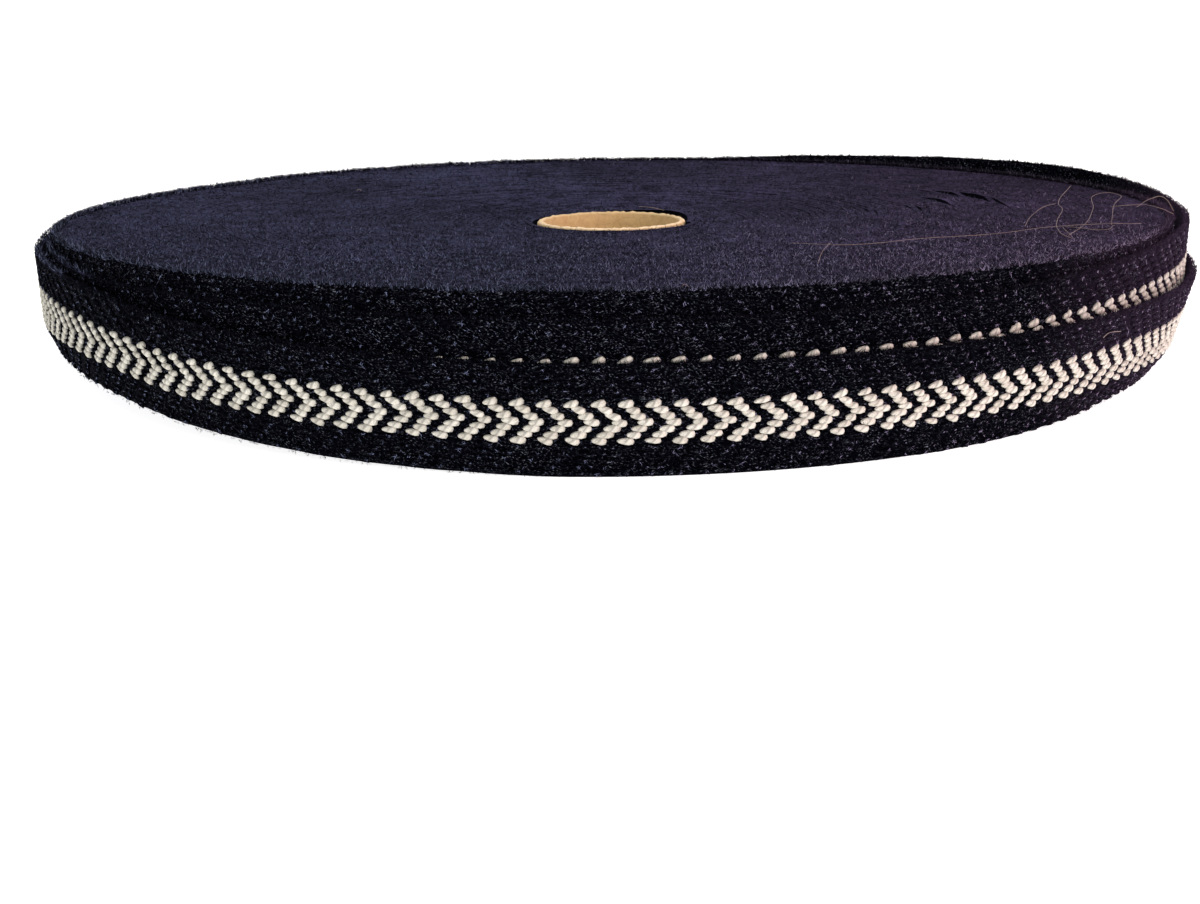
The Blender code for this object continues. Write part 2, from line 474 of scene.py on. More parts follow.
# lighter and plum on the front of the roll's right end
lighter_plum_end = add(tree, "Mix", {0: at_right_end(tree, across), 6: body, 7: colour("231a28")},
            data_type="RGBA")
tone = add(tree, "Mix", {0: share, 6: lighter_plum_end, 7: colour("757986")}, data_type="RGBA")
raised = add(tree, "Bump", {"Height": fibres, "Strength": 0.8, "Distance": 0.00015})
fill(tree, shader, {"Base Color": tone, "Normal": raised, "Roughness": 0.9,
                    "Specular IOR Level": 0.01, "Sheen Weight": 0.03,
                    "Sheen Roughness": 0.25, "Sheen Tint": colour("8f90b8")})
print("yarn material:", navy_yarn.name)

# %% [markdown]
# The edges of the braid make the roll's upper face, felted together into one soft,
# cloudy surface. Seen at a low angle its hairs catch the light: the shader's sheen gives
# a little of that, and the rest is a painted sheen, a colour paler than the yarn's. Three
# sizes of noise give the dye's slow drift over 40 mm, tufts of about 6 mm and a grain of
# about 1 mm. Towards the right the blue warms to plum. The face is darker at the back
# right, painted shade of the raised turns behind it, and along the front, painted shade
# under the close pile that stands on it.

# %% Felted edges


def blue_to_plum(tree, across, blue, plum):
    """A colour that turns from blue to plum, from the roll's middle to near its right end."""
    to_right = add(tree, "MapRange", {"Value": across.outputs["X"], "From Min": -0.02,
                                      "From Max": 0.12})
    return add(tree, "Mix", {0: to_right, 6: colour(blue), 7: colour(plum)},
               data_type="RGBA")


tree, shader, navy_felt_painted_sheen = new_material("navy_wool_felt_painted_sheen")
place = add(tree, "TexCoord")
drift, tufts, grain = (
    add(tree, "TexNoise", {"Vector": place.outputs["Object"], "Scale": scale,
                           "Detail": detail, "Roughness": rough})
    for scale, detail, rough in ((25.0, 1.0, 0.5), (160.0, 2.0, 0.55), (900.0, 3.0, 0.7))
)
lumps = add(tree, "Math", {0: tufts, 1: 0.5, 2: grain}, operation="MULTIPLY_ADD")
share = add(tree, "MapRange", {"Value": lumps, "From Min": 0.57, "From Max": 0.99})
across = add(tree, "SeparateXYZ", {"Vector": place.outputs["Object"]})
# pale colour: felt with a painted sheen, paler than the yarn on the sides
shade = add(tree, "Mix", {0: share, 6: colour("08080e"),
                          7: blue_to_plum(tree, across, "393b55", "443752")}, data_type="RGBA")
slow = add(tree, "MapRange", {"Value": drift, "From Min": 0.3, "From Max": 0.7,
                              "To Min": 0.75, "To Max": 1.2})
back_right = add(tree, "Math", {0: across.outputs["Y"], 1: 0.8, 2: across.outputs["X"]},
                 operation="MULTIPLY_ADD")
# painted shade: darker at the back right, behind the raised turns
painted_shade_back_right = add(tree, "MapRange", {"Value": back_right, "From Min": 0.02, "From Max": 0.14,
                              "To Min": 1.03, "To Max": 0.74})
# painted shade: darker along the front, under the close pile
painted_shade_under_front_pile = add(tree, "MapRange", {"Value": across.outputs["Y"], "From Min": -0.13,
                              "From Max": -0.05, "To Min": 0.82})
level = add(tree, "Math", {0: slow, 1: painted_shade_back_right}, operation="MULTIPLY")
level = add(tree, "Math", {0: level, 1: painted_shade_under_front_pile}, operation="MULTIPLY")
tone = add(tree, "Mix", {0: 1.0, 6: shade, 7: level}, data_type="RGBA",
           blend_type="MULTIPLY")
raised = add(tree, "Bump", {"Height": lumps, "Strength": 0.9, "Distance": 0.0005})
fill(tree, shader, {"Base Color": tone, "Normal": raised, "Roughness": 0.95,
                    "Specular IOR Level": 0.02, "Sheen Weight": 0.05,
                    "Sheen Roughness": 0.5, "Sheen Tint": colour("8f90b8")})
print("felt material:", navy_felt_painted_sheen.name)

# %% [markdown]
# The loose hairs take their shade from a number stored on each of them, so that most are
# as dark as the yarn and a few, standing in the light, are pale: painted glints. They turn
# from blue to plum towards the right, as the wool they stand on does.

# %% Loose wool hairs
tree, shader, wool_hair = new_material("navy_wool_loose_hair")
tone = add(tree, "Attribute", attribute_name="tone")
place = add(tree, "TexCoord")
across = add(tree, "SeparateXYZ", {"Vector": place.outputs["Object"]})
dark = add(tree, "Mix", {0: at_right_end(tree, across), 6: colour("020206"),
                         7: colour("2b1f30")}, data_type="RGBA")
# the pale colour paints glints of fibres in the light
shade = add(tree, "Mix", {0: tone.outputs["Fac"], 6: dark,
                          7: blue_to_plum(tree, across, "7a82a2", "a898b8")}, data_type="RGBA")
fill(tree, shader, {"Base Color": shade, "Roughness": 0.8, "Specular IOR Level": 0.02})
print("hair material:", wool_hair.name)

# %% [markdown]
# ## Cream wool
#
# Undyed wool yarn, softly twisted from three plies. Each stitch shows plump, with two or
# three slanting ply lines across it; the material draws those from the stitch's own
# coordinates, so they follow every stitch wherever it lies. The grooves between the plies
# are painted darker: painted shade.

# %% Cream wool material
tree, shader, cream_yarn = new_material("cream_wool_yarn")
yarn = add(tree, "Attribute", attribute_name="yarn")
part = add(tree, "SeparateXYZ", {"Vector": yarn.outputs["Vector"]})
place = add(tree, "TexCoord")
fibres = add(tree, "TexNoise", {"Vector": place.outputs["Object"], "Scale": 3500.0,
                                "Detail": 3.0, "Roughness": 0.65})
twist = add(tree, "Math", {0: part.outputs["Y"], 1: 2.0}, operation="MULTIPLY")
lay = add(tree, "Math", {0: part.outputs["X"], 1: -3.4, 2: twist},
          operation="MULTIPLY_ADD")
wobble = add(tree, "Math", {0: fibres, 1: 3.0, 2: lay}, operation="MULTIPLY_ADD")
ply = add(tree, "Math", {0: wobble}, operation="SINE")
ply_height = add(tree, "MapRange", {"Value": ply, "From Min": -1.0})
height = add(tree, "Math", {0: ply_height, 1: 0.7, 2: fibres}, operation="MULTIPLY_ADD")
raised = add(tree, "Bump", {"Height": height, "Strength": 0.7, "Distance": 0.0002})
stitch_tone = add(tree, "Mix", {0: part.outputs["Z"], 6: colour("c3bfb3"), 7: colour("d7d4c9")},
                  data_type="RGBA")
# painted shade: darker in the grooves between the plies
painted_groove_shade = add(tree, "MapRange", {"Value": ply, "From Min": -1.0, "From Max": -0.2,
                                "To Min": 0.58})
grain = add(tree, "MapRange", {"Value": fibres, "From Min": 0.35, "From Max": 0.65,
                               "To Min": 0.76, "To Max": 1.08})
lines = add(tree, "Math", {0: painted_groove_shade, 1: grain}, operation="MULTIPLY")
cream = add(tree, "Mix", {0: 1.0, 6: stitch_tone, 7: lines}, data_type="RGBA",
            blend_type="MULTIPLY")
rough = add(tree, "MapRange", {"Value": fibres, "To Min": 0.75})
fill(tree, shader, {"Base Color": cream, "Normal": raised, "Roughness": rough,
                    "Specular IOR Level": 0.2, "Sheen Weight": 0.15,
                    "Sheen Tint": colour("fff6e8")})
print("cream material:", cream_yarn.name)

# %% [markdown]
# ## Kraft paperboard
#
# The core is a short sawn tube of kraft paperboard. Its wall is golden paper, cloudy
# with pulp and crossed by faint creases, drawn as darker lines: painted shade. Its rim is
# rough and pale where the saw has torn the layers, and paler towards the near side; a
# number stored on each corner of the tube says how pale it is there.

# %% Kraft paperboard material
tree, shader, kraft = new_material("kraft_paperboard")
place = add(tree, "TexCoord")
upright = add(tree, "Mapping", {"Vector": place.outputs["Object"],
                                "Rotation": (lean_angle, 0.0, 0.0)})
pulp = add(tree, "TexNoise", {"Vector": upright, "Scale": 700.0, "Detail": 4.0,
                              "Roughness": 0.6})
creases = add(tree, "TexVoronoi", {"Vector": upright, "Scale": 330.0},
              feature="DISTANCE_TO_EDGE")
# painted shade: darker lines along the creases
painted_crease_shade = add(tree, "MapRange", {"Value": creases, "From Max": 0.05, "To Min": 0.86})
paper = add(tree, "Mix", {0: pulp, 6: colour("a48652"), 7: colour("cfb283")},
            data_type="RGBA")
paper_lines = add(tree, "Mix", {0: 1.0, 6: paper, 7: painted_crease_shade}, data_type="RGBA",
                  blend_type="MULTIPLY")
rim_share = add(tree, "Attribute", attribute_name="rim")
pale_rim = add(tree, "Mix", {0: rim_share.outputs["Fac"], 6: paper_lines,
                         7: colour("e6cfaa")}, data_type="RGBA")
raised = add(tree, "Bump", {"Height": pulp, "Strength": 0.6, "Distance": 0.0002})
fill(tree, shader, {"Base Color": pale_rim, "Normal": raised, "Roughness": 0.85})
print("tube material:", kraft.name)

# %% [markdown]
# ## The cardboard tube
#
# Draw its wall's section on one side of the axis and spin it round. Both rims are eased
# and then roughened a little, because they are sawn.

# %% Cardboard tube
TUBE_STEPS = 144
EASED = 0.4                     # the rims' rounding
SAWN_DEPTH = 0.5
SAWN_ROUGHNESS = (0.10, 0.08)   # up and down, in and out
sunk = BOWL_DEPTHS[0]
low, high = -sunk - TUBE_STAND_OUT, BRAID_WIDTH - sunk + TUBE_STAND_OUT
inner, outer = TUBE_RADIUS - TUBE_WALL, TUBE_RADIUS
section = [
    (inner, low + EASED), (inner, high - 3), (inner, high - EASED), (inner + EASED, high),
    (inner + 0.8, high), (outer - EASED, high), (outer, high - EASED), (outer, high - 3),
    (outer, low + EASED), (outer - EASED, low), (inner + EASED, low),
]
tube = bmesh.new()
corners = [tube.verts.new((radius, 0, height)) for radius, height in section]
edges = [tube.edges.new((a, b)) for a, b in zip(corners, corners[1:] + corners[:1])]
bmesh.ops.spin(tube, geom=corners + edges, axis=(0, 0, 1), cent=(0, 0, 0),
               angle=2 * math.pi, steps=TUBE_STEPS, use_merge=True)
bmesh.ops.remove_doubles(tube, verts=tube.verts, dist=0.001)
bmesh.ops.recalc_face_normals(tube, faces=tube.faces)
tube_mesh = into_mesh("cardboard_tube", tube)
places = np.array([v.co for v in tube_mesh.vertices])
from_rim = np.minimum(high - places[:, 2], places[:, 2] - low)
at_rim = np.clip(1 - from_rim / SAWN_DEPTH, 0, 1)
radius = np.hypot(places[:, 0], places[:, 1])
places[:, 2] += at_rim * rng.normal(0, SAWN_ROUGHNESS[0], len(places))
torn_out = at_rim * rng.normal(0, SAWN_ROUGHNESS[1], len(places))
places[:, :2] *= (1 + torn_out / radius)[:, None]
tube_mesh.vertices.foreach_set("co", leaned(places).ravel())
# paler towards the near side of the rim
near_side = 0.5 - places[:, 1] / (2 * outer)
set_attribute(tube_mesh, "rim", at_rim * (radius > inner + 0.3) * (0.15 + 0.85 * near_side))
cardboard_tube = finished("cardboard_tube", tube_mesh, kraft)
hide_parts("core_tube")

# %% [markdown]
# ## The wound turns
#
# The body of the roll really is a spiral strip: about 71 turns of braid. The first ones
# stand off the tube behind it and ride up on it, and the rim falls away a little at the
# left back. In a few places at the right and back the turns further out stand a little
# proud, which leaves a dark crevice along the inner ones. All that is one height for
# each place on the upper face, which the pile that stands on it shares.

# %% How the felted face lies
GAP, GAP_ANGLE, GAP_SPREAD, GAP_REACH = 4.2, 143, 31, 16
Swell = namedtuple("Swell", "rise angle spread radius reach")
SWELLS = [
    Swell(0.5, 140, 40, BORE_RADIUS, 9), Swell(0.65, 0, math.inf, BORE_RADIUS, 6),
    Swell(-0.9, -125, 42, BODY_RADIUS, 14),
]
PROUD_REACH = 7
Crevice = namedtuple("Crevice", "radius slant angle half_width rise")
CREVICES = [
    Crevice(97.5, -0.2, 109, 10, 1.1), Crevice(86.7, -0.1, 106, 5, 0.8),
    Crevice(77.0, -0.25, 94, 6, 0.8), Crevice(73.5, -0.4, 71, 6, 0.7),
    Crevice(65.0, -0.25, 94, 6, 0.6),
]


def bell(offset, width):
    """1 in the middle, falling smoothly to 0 over about the width."""
    return np.exp(-(offset / width)**2)


def off(angle, middle):
    """How many degrees an angle is past a middle one, the short way round."""
    return (angle - middle + 180) % 360 - 180


def core_gap(angle, radius):
    """How far the first turns stand off the tube behind it on the right."""
    fade = np.exp(-np.maximum(radius - BORE_RADIUS, 0) / GAP_REACH)
    return GAP * bell(off(angle, GAP_ANGLE), GAP_SPREAD) * fade


def lie(radius, angle):
    """How high the felted upper face lies above a flat one, at a radius and an angle."""
    level = -bowl(radius)
    for swell in SWELLS:
        here = bell(off(angle, swell.angle), swell.spread)
        level += swell.rise * here * bell(radius - swell.radius, swell.reach)
    for crevice in CREVICES:
        around = off(angle, crevice.angle)
        beyond = radius - crevice.radius - crevice.slant * around
        proud = (beyond > 0) * np.exp(-np.abs(beyond) / PROUD_REACH)
        level += crevice.rise * bell(around, crevice.half_width) * proud
    return level


print("the face sinks", -round(float(lie(np.array([30.0]), np.array([0.0]))[0]), 2),
      "mm at 30 mm from the axis")

# %% [markdown]
# To make the turns, a long grid of faces is rolled up across its width into the braid's
# section and wound up along its length. Its long edges are merged and its two ends are
# filled, so the strip is closed. The faces that point up or down wear the felt, whose
# paler colour is a painted sheen, the others the yarn. No turn sits quite level with the
# next.

# %% Wound turns
TURN_STEP = 3.0
SLOW_LEVEL, SLOW_WAVES = 0.05, (0.37, 0.61, 1.13, 2.3, 3.7)
QUICK_LEVEL, QUICK_WAVES = 0.03, (5.3, 8.1, 13.7)
ROUGH_LEVEL = 0.02
inward = BORE_RADIUS + BRAID_THICKNESS - BODY_RADIUS - STEP_OUT
first_angle = LEAVES_AT + 360 * inward / BRAID_THICKNESS
steps = round((OUTER_START - first_angle) / TURN_STEP)
strip_section = [
    (-1.60, 0.10), (-1.40, 0.05), (-0.24, 0.05), (-0.04, 0.10),
    (-0.04, 24.90), (-0.24, 24.95), (-1.40, 24.95), (-1.60, 24.90),
]


def strip_grid(count, section):
    """A grid to roll up, each corner's share of its length and its number in the section."""
    sides = len(section)
    grid = bmesh.new()
    bmesh.ops.create_grid(grid, x_segments=count, y_segments=sides, size=0.5)
    at = np.array([v.co for v in grid.verts])
    side = np.rint((at[:, 1] + 0.5) * sides).astype(int) % sides
    return grid, at[:, 0] + 0.5, side


def close_strip(grid):
    """Joins the rolled-up grid along its length, fills its ends and turns its faces out."""
    bmesh.ops.remove_doubles(grid, verts=grid.verts, dist=0.0001)
    bmesh.ops.holes_fill(grid, edges=[e for e in grid.edges if e.is_boundary], sides=0)
    bmesh.ops.recalc_face_normals(grid, faces=grid.faces)


def leaned_mesh(name, shape):
    """Turns a finished bmesh into a mesh in its place on the floor."""
    mesh = into_mesh(name, shape)
    places = np.array([v.co for v in mesh.vertices])
    mesh.vertices.foreach_set("co", leaned(places).ravel())
    return mesh


def wound_strip(name):
    """The closed strip of braid that makes the body."""
    grid, share, side = strip_grid(steps, strip_section)
    angle = first_angle + share * steps * TURN_STEP
    out, down = np.array(strip_section)[side].T
    radius = spiral_radius(angle)
    level = lie(radius, angle)
    level += SLOW_LEVEL * wavy(angle, SLOW_WAVES, 3)
    level += QUICK_LEVEL * wavy(angle, QUICK_WAVES, 4)
    rough = rng.normal(0, ROUGH_LEVEL, (steps + 1, len(strip_section)))
    level += rough[np.rint(share * steps).astype(int), side]
    radius = radius + out + core_gap(angle, radius)
    places = round_axis(angle, radius, BRAID_WIDTH - down + level)
    for vert, place in zip(grid.verts, places):
        vert.co = place
    close_strip(grid)
    for face in grid.faces:
        # faces that point up or down get the felt and its painted sheen
        face.material_index = 1 if abs(face.normal.z) < 0.5 else 0
    return leaned_mesh(name, grid)


wound_mesh = wound_strip("wound_turns")
wound_turns = finished("wound_turns", wound_mesh, navy_felt_painted_sheen)
wound_mesh.materials.append(navy_yarn)
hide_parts("wound_braid")
print("turns of braid in the body:", round(steps * TURN_STEP / 360, 1))

# %% [markdown]
# ## The outer turns
#
# The outermost turn of the body and the two slipped ones are one length of braid, whose
# weave shows. First comes the cloth itself, a closed strip along the braid's path. It is
# a sheet 25 mm wide. Its warp threads make shallow ribs along it, and the faces at its
# two edges wear the felt, with its painted sheen.

# %% Outer braid
WARP_ROWS = 17
WEFT_TURN = 0.8
ROW_AT = (0.5, 5.5, 12.5, 17.5)
ROW_DOWN = (0.45, 7.98, 17.43, 24.55)


def row_down(row):
    """How far down the braid a row of warp threads lies; the cream rows are set closer."""
    return np.interp(row, ROW_AT, ROW_DOWN)


rib_rows = np.arange(1, 2 * WARP_ROWS + 2) / 2
face_section = [(float(row_down(row)), -0.34 if row % 1 else -0.20) for row in rib_rows]
outer_section = [(0.12, -0.62)] + face_section + [
    (24.88, -0.62), (25.0, -0.9), (24.88, -1.25), (24.5, -1.52), (18.0, -1.56),
    (12.0, -1.56), (6.0, -1.56), (0.5, -1.52), (0.12, -1.25), (0.0, -0.9),
]
OUTER_STEP = 1.8
EDGE = 0.55


def felted(angle):
    """Where the edge has felted: on the body's own last turn, and at the left."""
    return (angle < -60) | ((angle > 200) & (angle < 295))


def outer_strip(name):
    """The closed strip that follows the outer turns."""
    span = OUTER_END - OUTER_START
    grid, share, side = strip_grid(round(span / OUTER_STEP), outer_section)
    yarn = grid.verts.layers.float_vector.new("yarn")
    angle = OUTER_START + share * span
    down, out = np.array(outer_section)[side].T
    along = np.radians(angle) * BODY_RADIUS
    for vert, place, x, y in zip(grid.verts, on_braid(angle, down, out), along, down):
        vert.co = place
        vert[yarn] = (x, y / WEFT_TURN, 0.0)
    close_strip(grid)
    for face in grid.faces:
        below = sum(v[yarn].y for v in face.verts) / len(face.verts) * WEFT_TURN
        at_edge = below < EDGE or below > BRAID_WIDTH - EDGE
        where = math.degrees(face.verts[0][yarn].x / BODY_RADIUS)
        face.material_index = 1 if at_edge and felted(where) else 0
    return leaned_mesh(name, grid)


outer_mesh = outer_strip("outer_braid")
outer_braid = finished("outer_braid", outer_mesh, navy_yarn)
outer_mesh.materials.append(navy_felt_painted_sheen)
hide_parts("wound_braid")

# %% [markdown]
# ## The stitches
#
# Warp threads float over three picks and dip under one. In each row the floats start one
# pick later than in the row above, down to the middle row, and then one pick earlier
# again, which draws the chevrons. Seven rows are cream, five on either side are navy.
# One plump little yarn shape, pointed at its left end and round at its right, is made
# once and laid down thousands of times, each copy bent to the braid's surface, with
# small differences in size, place and tilt. Along the top edge the weft turns back at
# each pick, which gives the felt its scalloped edge. Below its edge the middle turn's
# weave has sagged a little at the front and ridden up at the right, by a small table of
# angles and millimetres.

# %% Stitches
CHEVRONS_PER_TURN = 150
PICK = 1.44
APEX_ROW = 9
CREAM_ROWS = range(6, 13)
EDGE_ROW = 0.35
SAG_ANGLES = (-130, -90, -14, -6, -3, 40, 75, 200, 230)
SAG = (0.0, 0.6, 0.70, 0.55, 0.1, 0.05, -0.3, -0.3, 0.0)
TILTS = {6: 11, 7: -9, 8: -6, 9: 0, 10: 1, 11: 2, 12: -6}
SCATTER_ALONG, SCATTER_DOWN, SCATTER_TILT, SCATTER_SIZE = 0.12, 0.06, 5, 0.07
BULB = 0.30                     # how much thicker the round end is
Stitch = namedtuple("Stitch", "length width height lift phase per_turn")


def yarn_bead(around, along, blunt):
    """A unit bead lying along X; a higher blunt fills its ends out."""

    def make(shape):
        bmesh.ops.create_uvsphere(shape, u_segments=around, v_segments=along, radius=1.0)
        bmesh.ops.rotate(shape, verts=shape.verts, matrix=Matrix.Rotation(math.pi / 2, 3, "Y"))
        for vert in shape.verts:
            wide = math.hypot(vert.co.y, vert.co.z)
            if wide > 0.01:
                vert.co.yz = vert.co.yz * wide**-blunt

    return small_shape(make)


def lay_stitches(name, bead, rows, first, last, stitch, wool):
    """A piece of stitches, in rows from one angle to another, with their yarn coordinates."""
    unit_stitch, stitch_faces = bead
    pitch = 360 / stitch.per_turn
    picks = np.arange(round(first / pitch), round(last / pitch))
    along, row = (a.ravel() for a in np.meshgrid(
        picks * pitch + stitch.phase, np.array(rows, float), indexing="ij"))
    size = len(along)
    degrees_per_mm = np.degrees(1 / spiral_radius(along))
    along = along - np.abs(row - APEX_ROW) * PICK * degrees_per_mm
    along = along + rng.normal(0, SCATTER_ALONG, size) * degrees_per_mm
    down = row_down(row) + rng.normal(0, SCATTER_DOWN, size)
    down += (row > 1) * np.interp(along, SAG_ANGLES, SAG)
    tilt = np.array([TILTS.get(r, 0) for r in row]) + rng.normal(0, SCATTER_TILT, size)
    grow = rng.normal(1, SCATTER_SIZE, (size, 3))
    x, y, z = unit_stitch.T
    bulb = 1 + BULB * x
    x, y, z = (
        x[None] * stitch.length / 2 * grow[:, :1],
        (y * bulb)[None] * stitch.width / 2 * grow[:, 1:2],
        (z * bulb)[None] * stitch.height * grow[:, 2:],
    )
    angle = np.radians(tilt)[:, None]
    across = x * np.cos(angle) + y * np.sin(angle)
    sideways = y * np.cos(angle) - x * np.sin(angle)
    points = on_braid(along[:, None] + across * degrees_per_mm[:, None],
                      down[:, None] + sideways, z + stitch.lift)
    mesh = many(name, points.reshape(size, len(unit_stitch), 3), stitch_faces)
    turn = np.arctan2(unit_stitch[:, 2], unit_stitch[:, 1])
    yarn = np.stack([
        x.ravel(), np.broadcast_to(turn, x.shape).ravel(),
        np.repeat(rng.uniform(0, 1, size), len(unit_stitch)),
    ], 1)
    set_attribute(mesh, "yarn", yarn)
    return finished(name, mesh, wool)


print("one stitch is made of", len(yarn_bead(8, 5, 0.22)[1]), "faces")

# %% [markdown]
# The cream floats are the plumpest. The navy ones lie lower and closer, and short navy
# picks fill the gaps between the cream. The body's own turn shows only its upper border.

# %% Cream and navy stitches
cream_float = Stitch(3.5, 1.66, 0.60, -0.12, 0.5, CHEVRONS_PER_TURN)
navy_float = Stitch(3.9, 1.5, 0.48, -0.16, 0.5, CHEVRONS_PER_TURN)
navy_pick = Stitch(2.2, 1.35, 0.34, -0.22, 1.7, CHEVRONS_PER_TURN)
weft_turn = Stitch(2.3, 1.4, 0.62, -0.30, 0.0, CHEVRONS_PER_TURN * 3)
border_rows = [r for r in range(1, WARP_ROWS + 1) if r not in CREAM_ROWS]
upper_border = range(1, CREAM_ROWS[0])
WEFT_END = -80.0                # past here the edge lies in the outer turns' shade
cream_floats = lay_stitches("cream_floats", yarn_bead(8, 5, 0.22), CREAM_ROWS,
                            LEAVES_AT, OUTER_END, cream_float, cream_yarn)
navy_floats = lay_stitches("navy_floats", yarn_bead(7, 4, 0.3), border_rows,
                           LEAVES_AT, OUTER_END, navy_float, navy_yarn)
navy_floats_of_body = lay_stitches("navy_floats_of_body", yarn_bead(7, 4, 0.3), upper_border,
                                   OUTER_START, LEAVES_AT, navy_float, navy_yarn)
navy_picks = lay_stitches("navy_picks", yarn_bead(6, 4, 0.3), CREAM_ROWS,
                          LEAVES_AT, OUTER_END, navy_pick, navy_yarn)
weft_turns = lay_stitches("weft_turns", yarn_bead(6, 3, 0.2), [EDGE_ROW],
                          OUTER_START, WEFT_END, weft_turn, navy_yarn)

# %% [markdown]
# ## The fuzz
#
# Wool is hairy: fine fibres stand out of every edge and lie over every face. Each hair
# is a thin closed sliver of four triangles, thick at its root and pointed at its tip. A
# real one is about 0.03 mm thick, too fine to show, so they are drawn 0.18 to 0.22 mm
# thick at the root.

# %% Helpers for hairs


def sliver(shape):
    """A three-sided spike from -1 to 1 along Z, its point up."""
    bmesh.ops.create_cone(shape, segments=3, radius1=1.0, radius2=0.0, depth=2.0,
                          cap_ends=True)
    bmesh.ops.remove_doubles(shape, verts=shape.verts, dist=0.001)


UNIT_HAIR, HAIR_FACES = small_shape(sliver)
DARKEST = 0.03


def hairs(name, roots, ways, lengths, thick, tones):
    """A piece of thin hairs, from their roots along ways, with a tone for each."""
    size = len(roots)
    ways = ways / np.linalg.norm(ways, axis=1)[:, None]
    side = np.cross(ways, rng.normal(0, 1, (size, 3)))
    side /= np.linalg.norm(side, axis=1)[:, None]
    other = np.cross(ways, side)
    x, y, z = UNIT_HAIR.T[:, None, :, None]
    middle = roots + ways * lengths[:, None] / 2
    points = (
        middle[:, None] + ways[:, None] * z * lengths[:, None, None] / 2
        + (side[:, None] * x + other[:, None] * y) * thick / 2
    )
    mesh = many(name, points, HAIR_FACES)
    set_attribute(mesh, "tone", np.repeat(tones, len(UNIT_HAIR)))
    return finished(name, mesh, wool_hair)


def tones(size, pale_share, pale):
    """Dark shades, but for a share of pale ones, painted glints, mostly dim and seldom bright."""
    is_pale = rng.random(size) < pale_share
    return np.where(is_pale, np.minimum(rng.exponential(1, size) * pale, 1.0),
                    rng.uniform(0.0, DARKEST, size))


print("triangles in a hair:", sum(len(face) - 2 for face in HAIR_FACES))

# %% [markdown]
# The felted upper face has a pile, made in two layers. Short hairs stand up on it,
# closest at the front; their pale tones are painted glints, palest at the front and the
# front right. Somewhat longer fibres are spread evenly over the whole face.

# %% The pile on the upper face
PILE_INNER, PILE_OUTER = BORE_RADIUS + 1.0, 134.9
PILE_THICKNESS = 0.18
ROOT_DEPTH = 0.15
SHORTEST = 0.2
TRIES = 3                       # places tried for each hair that is kept
SPREAD_EVENLY = 0.4


def felt_pile(name, most, front_share, length):
    """A piece of hairs on the upper face; a front_share of 1 draws them to the front."""
    tried = TRIES * most
    angle = rng.uniform(0, 360, tried)
    radius = np.sqrt(rng.uniform(PILE_INNER**2, PILE_OUTER**2, tried))
    nearness = np.clip(0.5 + radius * np.cos(np.radians(angle)) / 180, 0, 1)**2
    chance = front_share * nearness + (1 - front_share) * SPREAD_EVENLY
    keep = np.nonzero(rng.random(tried) < chance)[0][:most]
    angle, radius, nearness = angle[keep], radius[keep], nearness[keep]
    count = len(keep)
    height = BRAID_WIDTH + lie(radius, angle) - ROOT_DEPTH + rng.uniform(-0.1, 0.05, count)
    roots = round_axis(angle, radius + core_gap(angle, radius), height)
    ways = rng.normal(0, 1, (count, 3))
    ways[:, 2] = np.abs(ways[:, 2]) * 0.5 + 0.15 + 0.5 * nearness
    lengths = rng.gamma(6, length / 6, count) + SHORTEST
    # painted glints: paler at the front and towards the front right
    to_right = np.clip(roots[:, 0] / 120, 0, 1) * nearness
    shades = tones(count, 0.5, (0.09 + 0.28 * nearness) * (1 + 0.45 * to_right))
    return hairs(name, roots, ways, lengths, PILE_THICKNESS, shades)


felt_pile("felt_pile", 49000, 1.0, 0.55)
felt_pile("felt_fibres", 36000, 0.0, 0.8)

# %% [markdown]
# The outer turns are hairy along both edges, which softens their outline. The hairs are
# thickest and palest where an edge has felted, above all on the body's own last turn,
# their pale tones painted glints, and darker round the back of it, where they stand in
# shade: painted shade.

# %% The fuzz on the edges of the outer turns
EDGE_HAIRS = 48000
ON_BODY_SHARE = 0.45
LOW_EDGE_SHARE = 0.15
SHADED_FROM, SHADED_TO = -290, -170
EDGE_THICKNESS = 0.2
on_body = rng.random(EDGE_HAIRS) < ON_BODY_SHARE
along = np.where(on_body, rng.uniform(OUTER_START, LEAVES_AT, EDGE_HAIRS),
                 rng.uniform(OUTER_START, OUTER_END, EDGE_HAIRS))
out = rng.uniform(-1.5, 0.1, EDGE_HAIRS)
low_edge = rng.random(EDGE_HAIRS) < LOW_EDGE_SHARE
top_down = np.where(felted(along), -0.15, 0.2)
down = np.where(low_edge, BRAID_WIDTH - 0.15, top_down) + rng.uniform(-0.1, 0.25, EDGE_HAIRS)
roots = on_braid(along, down, out)
spread = np.where(low_edge, 0.5, -1.0) * rng.uniform(0.2, 1.2, EDGE_HAIRS)
tips = on_braid(along + rng.normal(0, 0.25, EDGE_HAIRS), down + spread,
                out + rng.normal(0.15, 0.45, EDGE_HAIRS))
in_shade = (along > SHADED_FROM) & (along < SHADED_TO)
# pale tones are painted glints; in_shade paints them darker: painted shade
pale = np.where(felted(along) & ~low_edge, np.where(in_shade, 0.08, 0.36), 0.03)
lengths = (rng.gamma(5, 0.17, EDGE_HAIRS) + SHORTEST) * np.where(low_edge, 0.6, 1.0)
edge_hairs = hairs("edge_hairs", roots, tips - roots, lengths, EDGE_THICKNESS,
                   tones(EDGE_HAIRS, 0.5, pale))

# %% [markdown]
# On the sides, the short fibres stand out of the weave, so each one's root is picked on
# a stitch: a row and a number along it, then one pick further, with a little scatter.
# That draws the fine slanting lines of light over the dark borders, painted glints in the
# pale tones of the hairs. Some go one pick back. Only the rows that show get any, and the
# cream rows get fewer.

